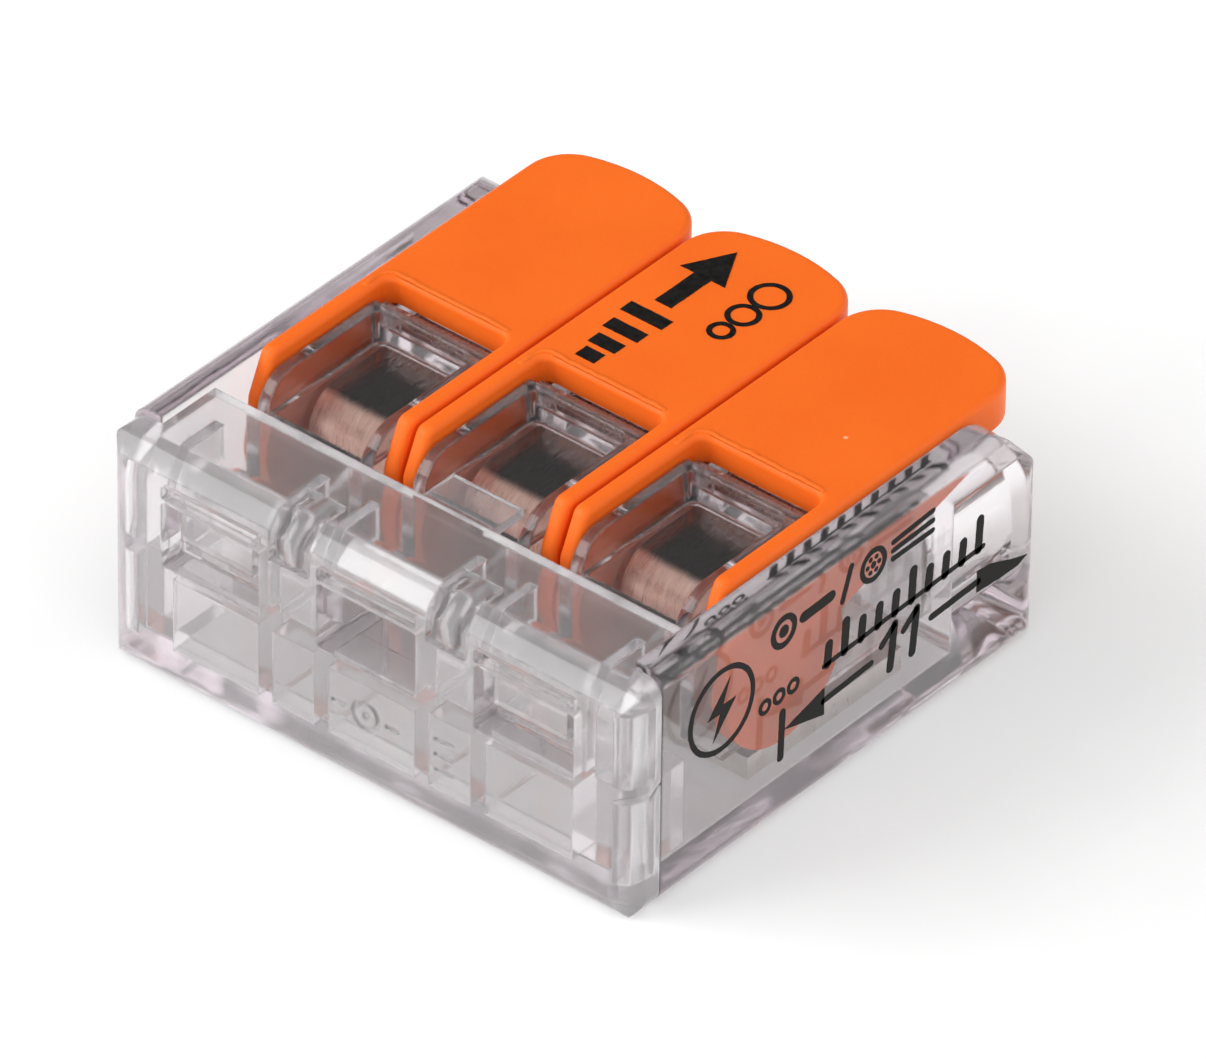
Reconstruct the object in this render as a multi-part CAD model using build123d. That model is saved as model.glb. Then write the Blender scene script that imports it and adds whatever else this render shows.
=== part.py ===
from build123d import *
import os

os.makedirs("parts", exist_ok=True)

# Three-pole lever splicing connector. Millimetres, +Z up.
# X runs across the poles, +Y points to the wire entries and lever tips, -Y is the closed test side.
# While building, y is counted from the test face. Every part is moved by -DEPTH / 2 when it is saved.

# ---- overall size ----
WIDTH = 18.8
DEPTH = 18.3              # test face to lever tips
HEIGHT = 8.1              # top of the closed levers
BODY_DEPTH = 17.6         # test face to wire-entry face
PITCH = 5.6
POLES = (-PITCH, 0.0, PITCH)

# ---- housing ----
WALL_TOP = 7.85           # top of the side walls
EDGE_R = 0.6              # rounding of the bottom edges
CAVITY_X = 8.42           # half width between the side walls
FLOOR = 1.05
SEAM = 1.25               # joint line between cap and housing
SEAM_GAP = 0.03
BLOCK_Y = 14.1            # inner end of the wire-entry block, where the insulation stops
BLOCK_TOP = 6.1
FRAME_X = 2.08            # half width of a window frame and its bearing cheeks
CHEEK_IN = 1.62
FRAME_TOP = 7.7
FRAME_DRAFT = 6           # degrees, slope of the inside of a frame
COVER_Z = 6.55            # underside of the thin wall above a spring
COVER_T = 0.2
CEILING = 6.5             # underside of the frames, top of the spring room
ENTRY_R = 2.2
ENTRY_Z = 3.45
FUNNEL_R = 2.55
FUNNEL_LEN = 0.6

# ---- lever ----
PIVOT_Y = 7.0
PIVOT_Z = 4.6
LEVER_X = 2.73            # half width of a lever
ARM_T = 0.54              # thickness of a lever arm
DISC_R = 2.45
PIN_R = 0.80
PIN_HOLE_R = 0.86
NOSE_Y = 4.6              # front of the lever arms
WINDOW_Y = 10.05          # end of the lever window
PLATE_T = 0.85
TIP_T = 1.2
TIP_Y = 15.2              # the lever is full thickness beyond this line

# ---- cap ----
CAP_TOP = 7.65
PLATE_END = 3.4
PLUG_END = 2.75
SHELF_Z = 3.95
FACE_T = 0.5              # front wall in front of the hollow chambers
BROW_R = 1.05             # rounding of the top front edge
BEAD_R = 0.33             # bead between two columns
BEAD_SINK = 0.28          # depth of the recess that it stands in
MARK_T = 0.08             # depth of the moulded marks

# ---- metal ----
STRIP_T = 0.30            # spring strip
SPRING_W = 3.0
TONGUE_W = 2.6
BOW_Y = 7.0
BOW_Z = 5.3
BOW_R = 1.0               # middle of the strip
BUSBAR_Z = 1.1
BUSBAR_T = 0.75


def block(x0, x1, y0, y1, z0, z1):
    """Box between two corners."""
    return Pos((x0 + x1) / 2, (y0 + y1) / 2, (z0 + z1) / 2) * Box(x1 - x0, y1 - y0, z1 - z0)


def side_plate(points, x0, x1, rounds=()):
    """Outline in y and z, run along x from x0 to x1. Each round is (y, z, radius) at one of its corners."""
    face = make_face(Polyline(*points, close=True))
    for y, z, radius in rounds:
        corner = face.vertices().sort_by(lambda v: (v.X - y) ** 2 + (v.Y - z) ** 2)[0]
        face = fillet(corner, radius)
    return Pos(x0, 0, 0) * Rot(0, 0, 90) * Rot(90, 0, 0) * extrude(face, x1 - x0)


def rod_x(radius, x0, x1, y, z):
    """Round rod along x."""
    return Pos((x0 + x1) / 2, y, z) * Rot(0, 90, 0) * Cylinder(radius, x1 - x0)


def rod_y(radius, y0, y1, x, z, end_radius=None):
    """Round or tapering rod along y."""
    length = y1 - y0
    shape = Cylinder(radius, length) if end_radius is None else Cone(radius, end_radius, length)
    return Pos(x, (y0 + y1) / 2, z) * Rot(-90, 0, 0) * shape


def pill(x, y0, y1, z0, z1, half, radius):
    """Upright box of the given half width with rounded corners in plan."""
    plan = Pos(x, (y0 + y1) / 2, 0) * RectangleRounded(2 * half, y1 - y0, radius)
    return Pos(0, 0, z0) * extrude(plan, z1 - z0)


def front_pocket(x, half, z0, z1, depth, radius=0.15):
    """Pocket pressed into the test face, rounded corners."""
    shape = RectangleRounded(2 * half, z1 - z0, radius)
    return Pos(x, depth, (z0 + z1) / 2) * Rot(90, 0, 0) * extrude(shape, depth + 0.5)


def outer_section(top, y0, y1):
    """Outside of the body: x and z outline with rounded edges, run along y."""
    face = Pos(0, top / 2) * Rectangle(WIDTH, top)
    corners = face.vertices().sort_by(Axis.Y)
    face = fillet(corners[:2], EDGE_R)
    face = fillet(face.vertices().group_by(Axis.Y)[-1], 0.55)
    return Pos(0, y1, 0) * Rot(90, 0, 0) * extrude(face, y1 - y0)


def outer_plan(y0, y1, at_front):
    """Outside of the body seen from above, with rounded corners at one end."""
    face = Pos(0, (y0 + y1) / 2) * Rectangle(WIDTH, y1 - y0)
    group = face.vertices().group_by(Axis.Y)[0 if at_front else -1]
    return extrude(fillet(group, 0.8), 10)


def make_housing():
    wall = [(SEAM, 0), (BODY_DEPTH, 0), (BODY_DEPTH, 5.6), (15.6, WALL_TOP), (SEAM, WALL_TOP)]
    rounds = [(BODY_DEPTH, 0, 0.7), (BODY_DEPTH, 5.6, 2.0), (15.6, WALL_TOP, 1.4)]
    body = side_plate(wall, -WIDTH / 2, WIDTH / 2, rounds)
    body = body & outer_section(WALL_TOP, SEAM, BODY_DEPTH) & outer_plan(SEAM, BODY_DEPTH, False)
    body -= block(-CAVITY_X, CAVITY_X, SEAM - 1, BLOCK_Y, FLOOR, 10)
    body -= block(-CAVITY_X, CAVITY_X, BLOCK_Y - 0.5, BODY_DEPTH + 1, BLOCK_TOP, 10)
    for x in POLES:
        body += window_frame(x)
        for side in (-1, 1):
            inner, outer = sorted((x + side * CHEEK_IN, x + side * FRAME_X))
            body += block(inner, outer, 3.9, BLOCK_Y + 0.1, 2.1, CEILING + 0.1)
        body += side_plate(
            [(9.4, CEILING), (9.4, 7.0), (15.0, 7.0), (15.15, 6.75), (16.3, 6.6), (17.0, 6.0), (14.0, 5.9), (14.0, 6.5)],
            x - FRAME_X, x + FRAME_X,
        )
        body -= rod_y(ENTRY_R, BLOCK_Y - 0.2, BODY_DEPTH + 0.2, x, ENTRY_Z)
        body -= rod_y(ENTRY_R, BODY_DEPTH - FUNNEL_LEN, BODY_DEPTH, x, ENTRY_Z, FUNNEL_R)
        body -= rod_x(PIN_HOLE_R, x - 2.2, x + 2.2, PIVOT_Y, PIVOT_Z)
        body -= side_plate([(3.0, 1.5), (3.0, 4.4), (5.2, 2.1), (5.2, 1.5)], x - 2.2, x + 2.2)
    return body


def window_frame(x):
    """Raised frame that fills the window of a lever: a sloping pocket with a thin cover over the spring."""
    outline = [(4.35, CEILING), (4.35, FRAME_TOP), (9.5, FRAME_TOP), (9.5, CEILING)]
    frame = side_plate(outline, x - FRAME_X, x + FRAME_X, [(4.35, FRAME_TOP, 1.15)])
    frame &= pill(x, 3.6, 9.5, 6, 8, FRAME_X, 0.35)
    frame -= side_plate([(9.1, 8), (9.6, 8), (9.6, 7.2)], x - 3, x + 3)
    opening = Pos(x, 6.0, FRAME_TOP) * RectangleRounded(3.5, 6.2, 0.45)
    frame -= extrude(opening, 1.3, dir=(0, 0, -1), taper=FRAME_DRAFT)
    frame += block(x - 1.6, x - 1.15, 9.3, 9.75, 6.9, 7.4)
    return frame + spring_cover(x)


def spring_cover(x):
    """Thin flat wall across a frame, above the spring."""
    return block(x - CHEEK_IN - 0.1, x + CHEEK_IN + 0.1, 4.45, 9.2, COVER_Z, COVER_Z + COVER_T)


def make_cap():
    back = SEAM - SEAM_GAP
    front = [(0, 0), (back, 0), (back, CAP_TOP), (0, CAP_TOP)]
    cap = side_plate(front, -WIDTH / 2, WIDTH / 2, [(0, 0, EDGE_R), (0, CAP_TOP, BROW_R)])
    cap = cap & outer_section(CAP_TOP, 0, SEAM) & outer_plan(0, SEAM, True)
    fit = CAVITY_X - 0.06
    cap += block(-fit, fit, SEAM - 0.1, PLUG_END, FLOOR + 0.06, SHELF_Z)
    cap += block(-fit, fit, SEAM - 0.1, PLATE_END, 6.95, CAP_TOP)
    cap += block(-1.25, 1.25, PLATE_END - 0.1, 5.1, 6.95, 7.25)
    for x in POLES:
        for side in (-1, 1):
            cap += block(x + side * 1.9 - 0.15, x + side * 1.9 + 0.15, SEAM - 0.1, 2.6, 3.9, 7.0)
        cap -= block(x - 1.55, x + 1.55, FACE_T, PLUG_END + 1, FLOOR, 3.3 if x == 0 else 3.5)
        cap -= front_pocket(x, 1.75, 6.28, 6.68, 0.25, 0.05)
        cap -= front_pocket(x, 1.75, 4.0, 6.15, 4.0 if x == 0 else 0.85, 0.1)
        if x != 0:
            cap += block(x - 1.35, x + 1.25, 0.35, 0.95, 4.85, 6.2)
    for side in (-1, 1):
        between = side * PITCH / 2
        cap -= block(between - 0.75, between + 0.75, FACE_T, PLUG_END + 1, FLOOR, 3.5)
        cap -= side_plate(
            [(-1, 6.1), (BEAD_SINK, 6.1), (BEAD_SINK, 6.75), (0.95, CAP_TOP - BEAD_SINK), (1.6, CAP_TOP - BEAD_SINK),
             (1.6, 9), (-1, 9)],
            between - 0.7, between + 0.7, [(BEAD_SINK, 6.1, 0.15)],
        )
        cap += column_bead(between)
        cap = end_details(cap, side)
    for z in (1.9, 2.4, 2.9):
        cap -= front_pocket(PITCH / 2, 0.35, z, z + 0.14, MARK_T, 0.05)
    return cap - test_mark()


def column_bead(x):
    """Rounded bead between two columns: over the top front edge and down the face."""
    radius = BEAD_R
    bend_z = CAP_TOP - BROW_R
    bend = Pos(x, BROW_R, bend_z) * Rot(0, 90, 0) * Torus(BROW_R - radius, radius)
    bead = bend & block(x - 1, x + 1, -1, BROW_R, bend_z, CAP_TOP + 1)
    bead += rod_y(radius, BROW_R, 1.62, x, CAP_TOP - radius)
    bead += Pos(x, radius, (bend_z + 6.4) / 2) * Cylinder(radius, bend_z - 6.4)
    return bead + Pos(x, radius, 6.4) * Sphere(radius)


def end_details(cap, side):
    """Hollows in the end wall of the cap, above and below its latch step."""
    x = side * (WIDTH / 2 - 0.75)
    for z0, z1 in ((1.0, 3.75), (4.25, 6.7)):
        cap -= pill(x, 0.45, 1.7, z0, z1, 0.22, 0.2)
    latch = [(0.75, 3.9), (SEAM, 4.2), (SEAM, 4.32), (0.75, 4.02)]
    return cap - side_plate(latch, side * WIDTH / 2 - 0.25, side * WIDTH / 2 + 0.25)


def test_mark():
    """Shallow ring, dot and two bars below the test opening."""
    mark = Cylinder(0.5, MARK_T) - Cylinder(0.38, MARK_T) + Cylinder(0.13, MARK_T)
    for side in (-1, 1):
        mark += Pos(side * 0.95, 0, 0) * Box(0.5, 0.13, MARK_T)
    return Pos(0, MARK_T / 2, 2.5) * Rot(90, 0, 0) * mark


def make_lever(x):
    nose = [(NOSE_Y, PIVOT_Z), (NOSE_Y, 6.7), (NOSE_Y + 0.65, HEIGHT)]
    arm_outline = nose + [(15.6, HEIGHT), (15.6, 6.95), (9.3, 5.2), (9.0, PIVOT_Z)]
    lever = lever_plate(x)
    for side in (-1, 1):
        inner, outer = sorted((x + side * (LEVER_X - ARM_T), x + side * LEVER_X))
        lever += side_plate(arm_outline, inner, outer, [(NOSE_Y, 6.7, 0.6), (NOSE_Y + 0.65, HEIGHT, 0.35)])
        lever += rod_x(DISC_R, inner, outer, PIVOT_Y, PIVOT_Z)
        pin_in, pin_out = sorted((x + side * 1.66, x + side * (LEVER_X - 0.1)))
        lever += rod_x(PIN_R, pin_in, pin_out, PIVOT_Y, PIVOT_Z)
    return soften(lever)


def soften(lever):
    """Round the top edges of a lever and the noses of its arms."""
    boxes = [(edge, edge.bounding_box()) for edge in lever.edges()]
    top = [edge for edge, box in boxes if box.min.Z > HEIGHT - 0.001 and (box.min.Y > 6 or box.size.Y > 0.1)]
    noses = [edge for edge, box in boxes if box.min.Z > 6 and box.max.Y < 6 and box.size.X < 0.01]
    return fillet(list(set(top + noses)), 0.2)


def lever_plate(x):
    """Flat of the lever with its rounded tip, thinner in the middle than at the tip."""
    shoulder = DEPTH - 0.72
    outline = Polyline((x + LEVER_X, shoulder), (x + LEVER_X, WINDOW_Y), (x - LEVER_X, WINDOW_Y),
                       (x - LEVER_X, shoulder))
    outline += ThreePointArc((x - LEVER_X, shoulder), (x, DEPTH), (x + LEVER_X, shoulder))
    face = make_face(outline)
    face = fillet(face.vertices().group_by(Axis.Y)[-1], 1.5)
    plate = Pos(0, 0, HEIGHT - TIP_T) * extrude(face, TIP_T)
    inside = LEVER_X - ARM_T
    for side in (-1, 1):
        corner = Pos(x + side * (inside - 0.2), WINDOW_Y - 0.2, HEIGHT - TIP_T / 2) * Box(0.4, 0.4, TIP_T)
        plate += corner - Pos(x + side * (inside - 0.4), WINDOW_Y - 0.4, HEIGHT - TIP_T / 2) * Cylinder(0.4, 2)
    plate -= block(x - inside, x + inside, WINDOW_Y - 1, TIP_Y, HEIGHT - TIP_T - 1, HEIGHT - PLATE_T)
    return plate


def strip(path, width, x):
    """Strip of spring steel that follows a line in y and z."""
    face = trace(path, STRIP_T)
    return Pos(x - width / 2, 0, 0) * Rot(0, 0, 90) * Rot(90, 0, 0) * extrude(face, width)


def make_spring(x):
    path = Line((10.7, 6.0), (10.5, 6.3)) + Line((10.5, 6.3), (BOW_Y, 6.3))
    path += CenterArc((BOW_Y, BOW_Z), BOW_R, 90, 178)
    return strip(path, SPRING_W, x)


def make_tongue(x):
    path = CenterArc((BOW_Y, BOW_Z), BOW_R, 270, 12) + Line((BOW_Y + 0.208, 4.322), (9.2, 4.05))
    path += Line((9.2, 4.05), (10.25, 2.3))
    return strip(path, TONGUE_W, x)


def make_busbar():
    bar = block(-7.9, 7.9, 6.0, 12.6, BUSBAR_Z, BUSBAR_Z + BUSBAR_T)
    for x in POLES:
        bar += block(x - 1.45, x + 1.45, 12.5, 13.4, BUSBAR_Z, BUSBAR_Z + BUSBAR_T)
        bar -= rod_y(1.6, 5.5, 14.0, x, BUSBAR_Z + BUSBAR_T + 1.45)
        bar += rod_x(0.3, x - 1.4, x + 1.4, 10.2, BUSBAR_Z + BUSBAR_T - 0.12)
    for x in (-PITCH / 2, PITCH / 2):
        bar -= pill(x, 7.2, 11.4, 1, 3, 0.45, 0.4)
    return bar


def save(shape, name):
    export_step(Pos(0, -DEPTH / 2, 0) * shape, f"parts/{name}.step")


save(make_housing(), "housing")
save(make_cap(), "test_cap")
save(make_busbar(), "busbar")
for number, pole in enumerate(POLES, 1):
    save(make_lever(pole), f"lever_{number}")
    save(make_spring(pole), f"spring_{number}")
    save(make_tongue(pole), f"tongue_{number}")
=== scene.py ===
import math
import bmesh
import bpy
from mathutils import Matrix, Vector, noise


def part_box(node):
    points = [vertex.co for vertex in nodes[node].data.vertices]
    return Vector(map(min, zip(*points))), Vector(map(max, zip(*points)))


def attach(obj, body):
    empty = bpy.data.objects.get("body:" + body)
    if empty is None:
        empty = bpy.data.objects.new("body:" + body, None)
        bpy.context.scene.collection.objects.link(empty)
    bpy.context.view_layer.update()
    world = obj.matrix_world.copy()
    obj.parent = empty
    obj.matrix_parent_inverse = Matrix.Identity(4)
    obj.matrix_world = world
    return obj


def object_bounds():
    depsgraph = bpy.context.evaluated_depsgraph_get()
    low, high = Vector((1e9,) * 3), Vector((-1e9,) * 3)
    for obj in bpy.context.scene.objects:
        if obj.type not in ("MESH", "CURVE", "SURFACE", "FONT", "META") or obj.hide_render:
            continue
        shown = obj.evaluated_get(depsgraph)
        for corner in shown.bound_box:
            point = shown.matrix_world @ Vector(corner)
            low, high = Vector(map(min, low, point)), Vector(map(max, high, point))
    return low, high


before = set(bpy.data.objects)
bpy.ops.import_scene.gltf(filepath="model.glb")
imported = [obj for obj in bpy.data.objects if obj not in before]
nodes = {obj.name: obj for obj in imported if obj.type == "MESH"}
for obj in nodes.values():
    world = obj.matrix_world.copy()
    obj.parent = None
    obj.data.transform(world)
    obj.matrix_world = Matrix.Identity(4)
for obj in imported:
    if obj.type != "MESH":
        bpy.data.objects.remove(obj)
cad_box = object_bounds()

MM = 0.001
box_low, box_high = (Vector(c) for c in cad_box)
POLES = (1, 2, 3)
BOW_TOP_Y = box_low.y + 7.0 * MM      # where the flat of a spring turns down into its bow


# ---------------------------------------------------------------- materials

NOISE_LOW, NOISE_HIGH = 0.25, 0.75                  # a noise mostly stays between these
RAMP_START, RAMP_END = 0.3, 0.7
MIX_FIRST, MIX_SECOND, MIX_COLOUR = 6, 7, 2         # colour sockets of a Mix node
CLEAR_CAST = (0.74, 0.52, 0.65, 1)                  # colour left far into the plastic
CLEAR_DENSITY = 30.0                                # absorption per metre
MOULDED_EDGE = 0.12 * MM                            # rounding that a moulded edge shows

def new_material(name):
    """Material with an empty Principled shader, its node tree and a helper to add nodes."""
    material = bpy.data.materials.new(name)
    material.use_nodes = True
    tree = material.node_tree
    shader = tree.nodes["Principled BSDF"]

    def add(kind, links=(), **values):
        node = tree.nodes.new(kind)
        for key, value in values.items():
            if key.startswith("in_"):
                node.inputs[int(key[3:])].default_value = value
            else:
                setattr(node, key, value)
        for source, target in links:
            tree.links.new(source, node.inputs[target])
        return node

    return material, tree, shader, add


def place_texture(add, scale, detail=2.0, roughness=0.5, stretch=(1, 1, 1)):
    """Value of a noise in object space; scale is in waves per metre."""
    coords = add("ShaderNodeTexCoord")
    mapping = add("ShaderNodeMapping", [(coords.outputs["Object"], "Vector")])
    mapping.inputs["Scale"].default_value = stretch
    texture = add("ShaderNodeTexNoise", [(mapping.outputs["Vector"], "Vector")])
    texture.inputs["Scale"].default_value = scale
    texture.inputs["Detail"].default_value = detail
    texture.inputs["Roughness"].default_value = roughness
    return texture.outputs["Fac"]


def spread(add, source, low, high):
    """Maps the range that a noise mostly stays in to low..high, and holds the ends."""
    node = add("ShaderNodeMapRange", [(source, "Value")])
    node.inputs["From Min"].default_value = NOISE_LOW
    node.inputs["From Max"].default_value = NOISE_HIGH
    node.inputs["To Min"].default_value = low
    node.inputs["To Max"].default_value = high
    return node.outputs["Result"]


def two_tone(add, source, dark, light):
    """Colour that goes from dark to light as a noise rises."""
    ramp = add("ShaderNodeValToRGB", [(source, "Fac")])
    ramp.color_ramp.elements[0].position = RAMP_START
    ramp.color_ramp.elements[0].color = (*dark, 1)
    ramp.color_ramp.elements[1].position = RAMP_END
    ramp.color_ramp.elements[1].color = (*light, 1)
    return ramp.outputs["Color"]


def add_bump(tree, add, shader, height, strength, distance, normal=None):
    """Uneven surface on a shader; normal is a socket that the bump starts from."""
    bump = add("ShaderNodeBump", [(height, "Height")])
    bump.inputs["Strength"].default_value = strength
    bump.inputs["Distance"].default_value = distance
    if normal is not None:
        tree.links.new(normal, bump.inputs["Normal"])
    tree.links.new(bump.outputs["Normal"], shader.inputs["Normal"])


def speckle(add, scale, radius, share):
    """Sparse round specks: 1 on a speck, 0 elsewhere. Scale is cells per metre, radius in cells."""
    coords = add("ShaderNodeTexCoord")
    cells = add("ShaderNodeTexVoronoi", [(coords.outputs["Object"], "Vector")])
    cells.inputs["Scale"].default_value = scale
    split = add("ShaderNodeSeparateColor", [(cells.outputs["Color"], "Color")])
    chosen = add("ShaderNodeMath", [(split.outputs["Red"], 0)],
                 operation="LESS_THAN", in_1=share)
    near = add("ShaderNodeMath", [(cells.outputs["Distance"], 0)],
               operation="LESS_THAN", in_1=radius)
    both = add("ShaderNodeMath", [(chosen.outputs[0], 0), (near.outputs[0], 1)],
               operation="MULTIPLY")
    return both.outputs[0]


def mixed(add, factor, first, second):
    """Colour that goes from first to second; each is a socket or an RGB triple."""
    mix = add("ShaderNodeMix", [(factor, "Factor")], data_type="RGBA")
    for socket, colour in ((MIX_FIRST, first), (MIX_SECOND, second)):
        if isinstance(colour, tuple):
            mix.inputs[socket].default_value = (*colour, 1)
        else:
            mix.id_data.links.new(colour, mix.inputs[socket])
    return mix.outputs[MIX_COLOUR]


def clear_plastic(name, clarity, smooth, dull, waviness):
    """Clear polycarbonate: faint mauve cast, uneven moulded surfaces and a few dust specks."""
    material, tree, shader, add = new_material(name)
    shader.inputs["Transmission Weight"].default_value = clarity
    shader.inputs["IOR"].default_value = 1.56
    waves = place_texture(add, scale=420, detail=3.0)
    specks = place_texture(add, scale=2600)
    dust = speckle(add, scale=800, radius=0.05, share=0.2)
    tint = two_tone(add, waves, dark=(0.95, 0.93, 0.94), light=(0.99, 0.98, 0.985))
    tree.links.new(mixed(add, dust, tint, (0.72, 0.68, 0.68)), shader.inputs["Base Color"])
    tree.links.new(spread(add, specks, smooth, dull), shader.inputs["Roughness"])
    edge = add("ShaderNodeBevel", samples=4)
    edge.inputs["Radius"].default_value = MOULDED_EDGE
    add_bump(tree, add, shader, waves, strength=waviness, distance=0.05 * MM,
             normal=edge.outputs["Normal"])
    absorb = add("ShaderNodeVolumeAbsorption")
    absorb.inputs["Color"].default_value = CLEAR_CAST
    absorb.inputs["Density"].default_value = CLEAR_DENSITY
    tree.links.new(absorb.outputs["Volume"], tree.nodes["Material Output"].inputs["Volume"])
    return material


def orange_plastic():
    """Saturated orange polyamide: satin, fine spark-eroded grain, sparse light and dark specks."""
    material, tree, shader, add = new_material("orange_polyamide")
    blotch = place_texture(add, scale=260, detail=4.0)
    grain = place_texture(add, scale=9000, detail=3.0, roughness=0.6)
    dust = speckle(add, scale=620, radius=0.045, share=0.18)
    dirt = speckle(add, scale=410, radius=0.035, share=0.16)
    colour = two_tone(add, blotch, dark=(0.90, 0.136, 0.010), light=(0.95, 0.158, 0.013))
    mottle = add("ShaderNodeMath", [(grain, 0)], operation="MULTIPLY", in_1=0.35)
    colour = mixed(add, mottle.outputs[0], colour, (0.96, 0.20, 0.030))
    colour = mixed(add, dust, colour, (0.90, 0.42, 0.22))
    colour = mixed(add, dirt, colour, (0.30, 0.06, 0.02))
    tree.links.new(colour, shader.inputs["Base Color"])
    tree.links.new(spread(add, grain, 0.36, 0.52), shader.inputs["Roughness"])
    shader.inputs["IOR"].default_value = 1.45
    shader.inputs["Specular IOR Level"].default_value = 0.2
    shader.inputs["Subsurface Weight"].default_value = 0.12
    shader.inputs["Subsurface Radius"].default_value = (1.0, 0.35, 0.1)
    shader.inputs["Subsurface Scale"].default_value = 0.4 * MM
    add_bump(tree, add, shader, grain, strength=0.4, distance=0.014 * MM)
    return material


def spring_metal(name, painted_dark_reflection):
    """Rolled coppery strip with fine lines along it; when asked, the flat behind its bow gets a
    painted dark reflection: near black at the bow, dark brown with bands across behind it, then
    coppery again.
    """
    material, tree, shader, add = new_material(name)
    shader.inputs["Metallic"].default_value = 1.0
    lines = place_texture(add, scale=700, detail=5.0, roughness=0.75, stretch=(9, 1, 1))
    colour = two_tone(add, lines, dark=(0.60, 0.34, 0.27), light=(1.0, 0.71, 0.59))
    if painted_dark_reflection:
        # painted dark reflection on the flat behind the bow: dark brown with bands across
        bands = place_texture(add, scale=260, detail=2.0, roughness=0.6, stretch=(0.3, 9, 1))
        dark = two_tone(add, bands, dark=(0.022, 0.013, 0.009), light=(0.090, 0.058, 0.045))
        coords = add("ShaderNodeTexCoord")
        place = add("ShaderNodeSeparateXYZ", [(coords.outputs["Object"], "Vector")])
        uneven = add("ShaderNodeMath", [(lines, 0), (place.outputs["Y"], 2)],
                     operation="MULTIPLY_ADD", in_1=0.3 * MM)
        # each change of tone: where it starts and ends, in mm behind the bow, and the tone; the
        # near black and dark brown tones are painted dark reflection, the last goes back to bare
        # copper
        bare, edge = colour, (0.028, 0.015, 0.010)
        for start, end, tone in ((-0.45, -0.15, edge), (1.0, 1.8, dark), (2.2, 2.6, bare)):
            step = add("ShaderNodeMapRange", [(uneven.outputs["Value"], "Value")],
                       interpolation_type="SMOOTHSTEP")
            step.inputs["From Min"].default_value = BOW_TOP_Y + start * MM
            step.inputs["From Max"].default_value = BOW_TOP_Y + end * MM
            colour = mixed(add, step.outputs["Result"], colour, tone)
    tree.links.new(colour, shader.inputs["Base Color"])
    tree.links.new(spread(add, lines, 0.2, 0.38), shader.inputs["Roughness"])
    add_bump(tree, add, shader, lines, strength=0.25, distance=0.01 * MM)
    return material


def tinned_copper():
    """Tin plated copper: pale grey, soft cloudy shine."""
    material, tree, shader, add = new_material("tinned_copper")
    shader.inputs["Metallic"].default_value = 1.0
    cloud = place_texture(add, scale=700, detail=5.0, roughness=0.6)
    colour = two_tone(add, cloud, dark=(0.62, 0.58, 0.54), light=(0.82, 0.80, 0.77))
    tree.links.new(colour, shader.inputs["Base Color"])
    tree.links.new(spread(add, cloud, 0.22, 0.42), shader.inputs["Roughness"])
    add_bump(tree, add, shader, cloud, strength=0.15, distance=0.01 * MM)
    return material


def black_print():
    """Pad printed ink: black, with slight changes of tone and gloss."""
    material, tree, shader, add = new_material("black_print")
    cover = place_texture(add, scale=5200, detail=3.0, roughness=0.65)
    colour = two_tone(add, cover, dark=(0.003, 0.003, 0.003), light=(0.016, 0.014, 0.013))
    tree.links.new(colour, shader.inputs["Base Color"])
    tree.links.new(spread(add, cover, 0.4, 0.65), shader.inputs["Roughness"])
    shader.inputs["Specular IOR Level"].default_value = 0.15
    return material


def glowing_floor():
    """White acrylic floor that glows a little, like a light table."""
    material, tree, shader, add = new_material("pale_floor")
    cloud = place_texture(add, scale=300, detail=3.0)
    colour = two_tone(add, cloud, dark=(0.80, 0.80, 0.80), light=(0.82, 0.82, 0.82))
    tree.links.new(colour, shader.inputs["Base Color"])
    shader.inputs["Roughness"].default_value = 0.8
    shader.inputs["Emission Color"].default_value = (1, 1, 1, 1)
    shader.inputs["Emission Strength"].default_value = 0.22
    return material


BODY_CLEAR = clear_plastic("clear_polycarbonate",
                           clarity=0.985, smooth=0.02, dull=0.09, waviness=0.15)
CAP_CLEAR = clear_plastic("clear_polycarbonate_hazy",
                          clarity=0.89, smooth=0.03, dull=0.12, waviness=0.22)
ORANGE = orange_plastic()
# painted dark reflection on the flat of each spring behind its bow
SPRING = spring_metal("spring_strip_painted_dark_reflection", painted_dark_reflection=True)
TONGUE = spring_metal("spring_strip", painted_dark_reflection=False)
TIN = tinned_copper()
INK = black_print()


def paint(obj, material):
    obj.data.materials.clear()
    obj.data.materials.append(material)


paint(nodes["housing"], BODY_CLEAR)
paint(nodes["test_cap"], CAP_CLEAR)
paint(nodes["busbar"], TIN)
for n in POLES:
    paint(nodes[f"lever_{n}"], ORANGE)
    paint(nodes[f"spring_{n}"], SPRING)
    paint(nodes[f"tongue_{n}"], TONGUE)


# ---------------------------------------------------------------- meshes

def close_loft(mesh, rows):
    """Closed skin over rows of points that all have the same count."""
    count = len(rows[0])
    for first, second in zip(rows, rows[1:]):
        for k in range(count):
            m = (k + 1) % count
            mesh.faces.new((first[k], first[m], second[m], second[k]))
    mesh.faces.new(rows[0])
    mesh.faces.new(rows[-1])
    bmesh.ops.recalc_face_normals(mesh, faces=mesh.faces)


def new_piece(name, mesh, material, smooth=False):
    """Object in the scene made from a bmesh, which is freed."""
    data = bpy.data.meshes.new(name)
    mesh.to_mesh(data)
    mesh.free()
    for face in data.polygons:
        face.use_smooth = smooth
    piece = bpy.data.objects.new(name, data)
    bpy.context.scene.collection.objects.link(piece)
    paint(piece, material)
    return piece


def lever_middle(n):
    """Middle of lever n across the poles."""
    low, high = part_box(f"lever_{n}")
    return (low[0] + high[0]) / 2


# ---------------------------------------------------------------- printed marks

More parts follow.
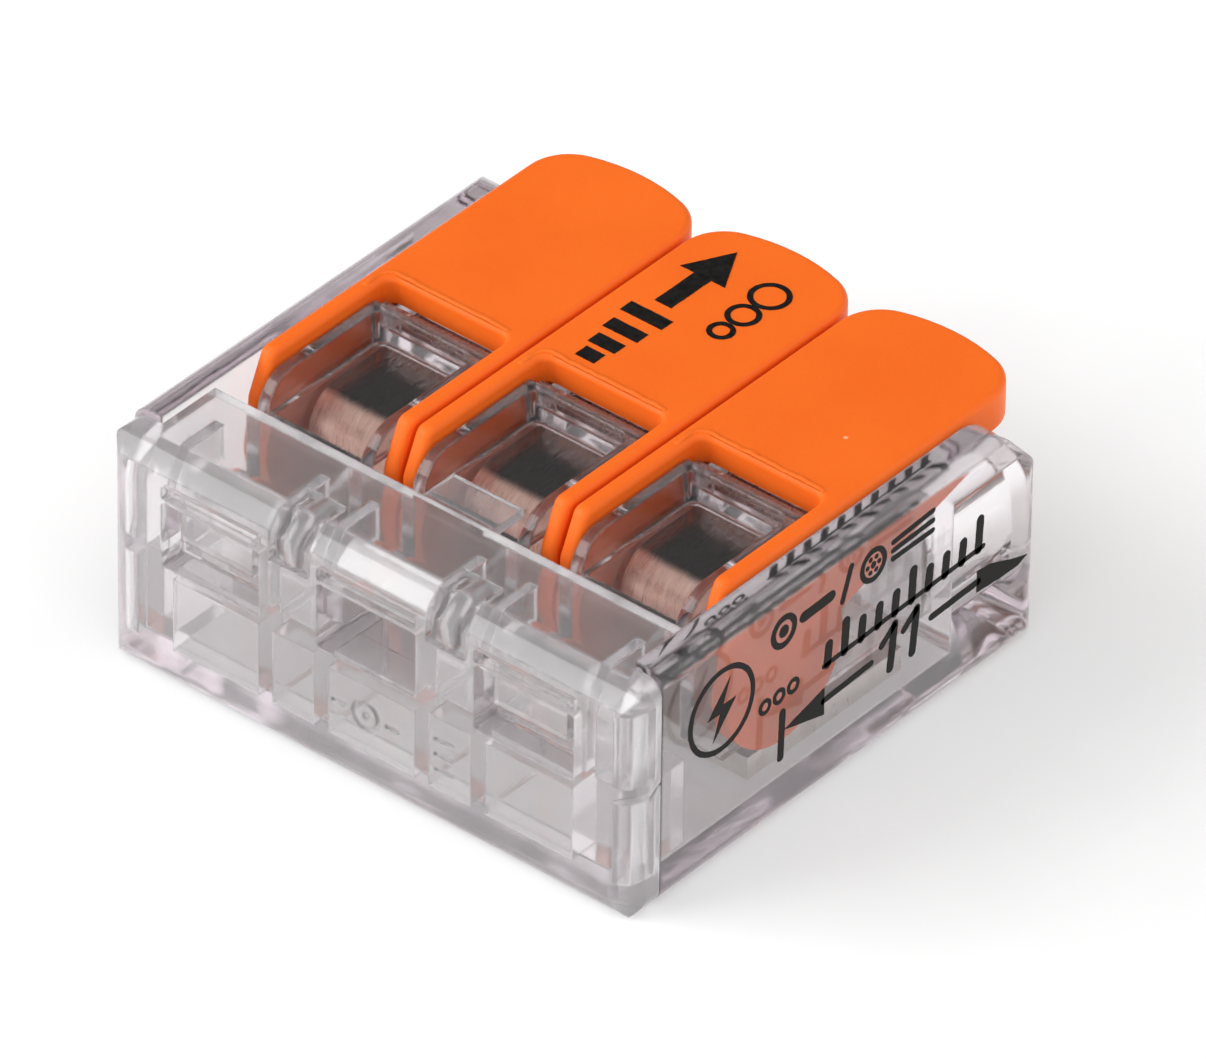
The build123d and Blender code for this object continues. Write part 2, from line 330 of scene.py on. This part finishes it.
# Outlines are in millimetres, measured from the test face: (y, z) on the side wall and
# (x, y) on a lever.
INK_T = 0.020         # thickness of the ink
INK_SINK = 0.008      # depth of its underside below the surface
PRINT_SEED = 7

noise.seed_set(PRINT_SEED)      # without a seed, noise vectors differ from run to run


def stroke(start, end, width, steps=8):
    """Straight line with round ends."""
    along = math.atan2(end[1] - start[1], end[0] - start[0])
    outline = []
    for centre, turn in ((end, -90), (start, 90)):
        for i in range(steps + 1):
            angle = along + math.radians(turn + 180 * i / steps)
            outline.append((centre[0] + width / 2 * math.cos(angle),
                            centre[1] + width / 2 * math.sin(angle)))
    return [outline]


def disc(centre, radius, steps=24):
    """Filled circle."""
    turns = [2 * math.pi * i / steps for i in range(steps)]
    return [[(centre[0] + radius * math.cos(t), centre[1] + radius * math.sin(t)) for t in turns]]


def ring(centre, radius, width, steps=36):
    """Circle drawn with a line of the given width, as a row of four-sided pieces."""
    def point(i, r):
        turn = 2 * math.pi * (i % steps) / steps
        return (centre[0] + r * math.cos(turn), centre[1] + r * math.sin(turn))
    inner, outer = radius - width / 2, radius + width / 2
    return [[point(i, inner), point(i, outer), point(i + 1, outer), point(i + 1, inner)]
            for i in range(steps)]


def bar(low, high):
    """Upright rectangle between two corners."""
    return [[low, (high[0], low[1]), high, (low[0], high[1])]]


def ragged(outline, longest=0.12, wander=0.014, waves=7):
    """Outline with more points, each moved a little, as ink creeps on a rough face."""
    points = []
    for (u0, v0), (u1, v1) in zip(outline, outline[1:] + outline[:1]):
        count = max(1, math.ceil(math.hypot(u1 - u0, v1 - v0) / longest))
        for i in range(count):
            u, v = u0 + (u1 - u0) * i / count, v0 + (v1 - v0) * i / count
            shift = noise.noise_vector(Vector((u * waves, v * waves, 0)))
            points.append((u + shift.x * wander, v + shift.y * wander))
    return points


def add_print(name, outlines, to_space, outward, body):
    """Thin solid of ink for a set of outlines; to_space takes an outline point to the surface."""
    mesh = bmesh.new()
    for outline in outlines:
        mesh.faces.new([mesh.verts.new(to_space(u, v) - outward * INK_SINK * MM)
                        for u, v in ragged(outline)])
    bmesh.ops.remove_doubles(mesh, verts=mesh.verts, dist=0.0005 * MM)
    grown = bmesh.ops.extrude_face_region(mesh, geom=mesh.faces[:])
    for item in grown["geom"]:
        if isinstance(item, bmesh.types.BMVert):
            item.co += outward * INK_T * MM
    bmesh.ops.recalc_face_normals(mesh, faces=mesh.faces)
    bmesh.ops.triangulate(mesh, faces=mesh.faces)
    piece = new_piece(name, mesh, INK)
    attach(piece, body)


def strip_gauge():
    """Length to strip: end tick, two arrows and the length in millimetres."""
    marks = stroke((6.3, 2.15), (6.36, 3.65), 0.26)
    marks += [[(6.45, 3.02), (8.15, 2.55), (8.15, 3.47)]] + stroke((8.1, 3.03), (10.15, 3.14), 0.21)
    marks += stroke((12.75, 3.24), (14.75, 3.30), 0.24)
    marks += [[(14.7, 2.95), (14.7, 3.68), (15.3, 3.62), (16.2, 3.25), (16.9, 3.02),
               (16.5, 2.86), (15.6, 2.88)]]
    for foot in (10.98, 11.93):
        marks += stroke((foot, 2.5), (foot + 0.16, 3.9), 0.30)
        marks += stroke((foot + 0.13, 3.88), (foot - 0.38, 3.48), 0.25)
    return marks


def wire_symbols():
    """Solid wire, then stranded wire, each as its cross-section and a length of it."""
    marks = ring((6.35, 6.42), 0.45, 0.2) + disc((6.35, 6.42), 0.2)
    marks += stroke((7.2, 6.42), (8.35, 6.46), 0.36)
    marks += stroke((8.85, 6.0), (9.2, 7.0), 0.2)
    marks += ring((10.15, 6.5), 0.48, 0.18) + disc((10.15, 6.5), 0.11)
    for i in range(6):
        turn = math.radians(60 * i)
        marks += disc((10.15 + 0.25 * math.cos(turn), 6.5 + 0.25 * math.sin(turn)), 0.08, 10)
    for rise in (-0.28, 0, 0.28):
        marks += stroke((11.0, 6.5 + rise), (12.7, 6.56 + rise * 1.2), 0.18)
    return marks


def scale_bars():
    """Row of upright bars on a line that rises a little; every fourth bar is taller."""
    start, level, slope = 8.1, 4.22, 0.03
    count, pitch, lean, short, tall = 10, 0.72, 0.06, 0.62, 0.98
    marks = stroke((start, level), (14.95, 4.42), 0.17)
    for i in range(count):
        foot = 8.25 + pitch * i
        low = level + slope * (foot - start)
        top = low + (tall if i % 4 == 1 else short)
        marks += stroke((foot, low), (foot + lean, top), 0.32)
    return marks


def pole_symbol():
    """Ring with a plain bolt in it, and three dots for the three poles."""
    marks = ring((3.75, 5.25), 1.32, 0.18)
    marks += [[(4.1, 6.2), (3.15, 5.15), (3.7, 5.15), (3.4, 4.3), (4.35, 5.4), (3.8, 5.4)]]
    for i in range(3):
        marks += ring((5.6 + 0.6 * i, 4.28 + 0.02 * i), 0.2, 0.14, 20)
    return marks


def lift_mark():
    """Arrow towards the lever tip with bars behind it, and three wire sizes beside it."""
    marks = [[(-1.2, 17.1), (-2.0, 15.6), (-1.5, 15.6), (-1.5, 13.9), (-0.9, 13.9), (-0.9, 15.6),
              (-0.4, 15.6)]]
    for low, half in ((12.95, 0.75), (12.05, 0.62), (11.25, 0.48), (10.55, 0.34)):
        marks += bar((-1.2 - half, low), (-1.2 + half, low + 0.5))
    for middle, radius in ((14.0, 0.33), (14.95, 0.44), (16.1, 0.55)):
        marks += ring((0.8, middle), radius, 0.17)
    return marks


def on_side(u, v):
    return Vector((box_high.x, box_low.y + u * MM, box_low.z + v * MM))


def on_lever(u, v):
    return Vector((u * MM, box_low.y + v * MM, box_high.z))


add_print("strip_gauge_print", strip_gauge(), on_side, Vector((1, 0, 0)), "body")
add_print("wire_type_print", wire_symbols(), on_side, Vector((1, 0, 0)), "body")
add_print("scale_print", scale_bars(), on_side, Vector((1, 0, 0)), "body")
add_print("pole_print", pole_symbol(), on_side, Vector((1, 0, 0)), "body")
add_print("lift_print", lift_mark(), on_lever, Vector((0, 0, 1)), "lever_body_2")


# ---------------------------------------------------------------- lips and steps at the windows

def add_lip(n):
    """Low moulded lip around the rear end of a lever window."""
    middle = lever_middle(n)
    side, front, rear, corner = 2.42, 9.2, 10.22, 0.45
    path = [(-side, front + 0.1 * i) for i in range(6)]
    path += [(-side + corner - corner * math.cos(t), rear - corner + corner * math.sin(t))
             for t in (math.radians(15 * i) for i in range(1, 7))]
    path += [(-side + corner + 0.1 * i, rear) for i in range(1, 41)]
    profile = [(-0.10, -0.03), (-0.06, 0.04), (0.0, 0.06), (0.06, 0.04), (0.10, -0.03)]
    last, fade_steps = len(path) - 1, 4
    mesh = bmesh.new()
    rows = []
    for i, (u, v) in enumerate(path):
        before, after = path[max(i - 1, 0)], path[min(i + 1, last)]
        across = Vector((before[1] - after[1], after[0] - before[0])).normalized()
        swell = 0.75 + 0.9 * noise.noise(Vector((u * 3, v * 3, n)))
        fade = min(1.0, i / fade_steps, (last - i) / fade_steps)
        row = []
        for w, h in profile:
            height = h * swell * fade if h > 0 else h
            row.append(mesh.verts.new((middle + (u + across.x * w) * MM,
                                       box_low.y + (v + across.y * w) * MM,
                                       box_high.z + height * MM)))
        rows.append(row)
    close_loft(mesh, rows)
    piece = new_piece(f"lever_lip_{n}", mesh, ORANGE, smooth=True)
    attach(piece, f"lever_body_{n}")


def add_step(n):
    """Moulded step behind the frame of a window, under the lever plate, with chamfered ends."""
    middle = lever_middle(n)
    outline = [(9.30, 6.98), (9.27, 7.66), (9.55, 7.60), (9.88, 7.28), (9.88, 6.98)]
    centre = (9.58, 7.2)
    end, shoulder, end_size = 1.98, 1.88, 0.7
    mesh = bmesh.new()
    rows = []
    for u, size in ((-end, end_size), (-shoulder, 1.0), (shoulder, 1.0), (end, end_size)):
        rows.append([mesh.verts.new((middle + u * MM,
                                     box_low.y + (centre[0] + (v - centre[0]) * size) * MM,
                                     box_low.z + (centre[1] + (w - centre[1]) * size) * MM))
                     for v, w in outline])
    close_loft(mesh, rows)
    piece = new_piece(f"frame_step_{n}", mesh, BODY_CLEAR)
    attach(piece, "body")


for n in POLES:
    add_lip(n)
    add_step(n)


# ---------------------------------------------------------------- floor, light, camera

FLOOR_HALF = 0.6             # metres
FLOOR_GAP = 0.02 * MM        # the floor and the underside must not share a face


def add_floor():
    """Pale square under the object."""
    mesh = bpy.data.meshes.new("floor")
    corners = [(-FLOOR_HALF, -FLOOR_HALF, 0), (FLOOR_HALF, -FLOOR_HALF, 0),
               (FLOOR_HALF, FLOOR_HALF, 0), (-FLOOR_HALF, FLOOR_HALF, 0)]
    mesh.from_pydata(corners, [], [(0, 1, 2, 3)])
    floor = bpy.data.objects.new("floor", mesh)
    floor.location.z = box_low.z - FLOOR_GAP
    bpy.context.scene.collection.objects.link(floor)
    floor.data.materials.append(glowing_floor())


def add_area(name, place, aim, size, power):
    """White rectangular lamp; size in metres, power in watts."""
    light = bpy.data.lights.new(name, "AREA")
    light.shape = "RECTANGLE"
    light.size, light.size_y = size
    light.energy = power
    lamp = bpy.data.objects.new(name, light)
    lamp.location = place
    lamp.visible_transmission = False      # no hard image of it inside the clear mouldings
    lamp.rotation_euler = (Vector(aim) - Vector(place)).to_track_quat("-Z", "Y").to_euler()
    bpy.context.scene.collection.objects.link(lamp)


def add_world(overhead, horizon, behind, before):
    """Sky from horizon to overhead, with a dark patch behind the object and a weak one before."""
    world = bpy.data.worlds.new("studio")
    world.use_nodes = True
    tree = world.node_tree
    background = tree.nodes["Background"]
    coords = tree.nodes.new("ShaderNodeTexCoord")
    split = tree.nodes.new("ShaderNodeSeparateXYZ")
    tree.links.new(coords.outputs["Generated"], split.inputs["Vector"])
    rise = tree.nodes.new("ShaderNodeMapRange")
    rise.interpolation_type = "SMOOTHSTEP"
    rise.inputs["From Min"].default_value = 0.0
    rise.inputs["From Max"].default_value = 1.0
    rise.inputs["To Min"].default_value = horizon
    rise.inputs["To Max"].default_value = overhead
    tree.links.new(split.outputs["Z"], rise.inputs["Value"])
    strength = rise.outputs["Result"]
    # each patch: its direction, the cosines at its rim and its core, and the light left there
    for direction, rim, core, darkest in (((-0.51, 0.616, 0.6), 0.55, 0.9, behind),
                                          ((-0.5, -0.6, 0.62), 0.6, 0.92, before)):
        facing = tree.nodes.new("ShaderNodeVectorMath")
        facing.operation = "DOT_PRODUCT"
        tree.links.new(coords.outputs["Generated"], facing.inputs[0])
        facing.inputs[1].default_value = direction
        shade = tree.nodes.new("ShaderNodeMapRange")
        shade.interpolation_type = "SMOOTHSTEP"
        shade.inputs["From Min"].default_value = rim
        shade.inputs["From Max"].default_value = core
        shade.inputs["To Min"].default_value = 1.0
        shade.inputs["To Max"].default_value = darkest
        tree.links.new(facing.outputs["Value"], shade.inputs["Value"])
        product = tree.nodes.new("ShaderNodeMath")
        product.operation = "MULTIPLY"
        tree.links.new(strength, product.inputs[0])
        tree.links.new(shade.outputs["Result"], product.inputs[1])
        strength = product.outputs["Value"]
    tree.links.new(strength, background.inputs["Strength"])
    background.inputs["Color"].default_value = (1, 1, 1, 1)
    bpy.context.scene.world = world


def add_camera():
    """Long lens, seen from the test side, above and to the right."""
    azimuth, elevation, roll = (math.radians(a) for a in (39.64, 36.87, 0.74))
    distance = 468.0 * MM
    frame_width, sensor, focal_pixels = 1206, 36.0, 17064
    back = Vector((math.sin(azimuth) * math.cos(elevation),
                   -math.cos(azimuth) * math.cos(elevation),
                   math.sin(elevation)))
    level = Vector((math.cos(azimuth), math.sin(azimuth), 0))
    upright = back.cross(level)
    right = level * math.cos(roll) + upright * math.sin(roll)
    up = back.cross(right)
    middle = Vector((0, box_low.y + 9.3 * MM, box_low.z + 4.0 * MM))
    middle += right * 0.44 * MM - up * 0.353 * MM
    camera = bpy.data.objects.new("camera", bpy.data.cameras.new("camera"))
    rotation = Matrix((right, up, back)).transposed().to_4x4()
    camera.matrix_world = Matrix.Translation(middle + back * distance) @ rotation
    camera.data.sensor_width = sensor
    camera.data.lens = focal_pixels / frame_width * sensor
    camera.data.clip_start = 0.01
    camera.data.clip_end = 20
    bpy.context.scene.collection.objects.link(camera)
    bpy.context.scene.camera = camera


add_floor()
add_world(overhead=1.08, horizon=1.2, behind=0.13, before=0.7)
add_area("key", place=(-0.30, -0.28, 0.22), aim=(0, 0, 0), size=(0.4, 0.4), power=1.75)
add_camera()

scene = bpy.context.scene
scene.view_settings.view_transform = "Standard"
scene.cycles.caustics_reflective = True
scene.cycles.caustics_refractive = True
scene.cycles.max_bounces = 24
scene.cycles.transmission_bounces = 20
scene.cycles.glossy_bounces = 8
scene.cycles.transparent_max_bounces = 24
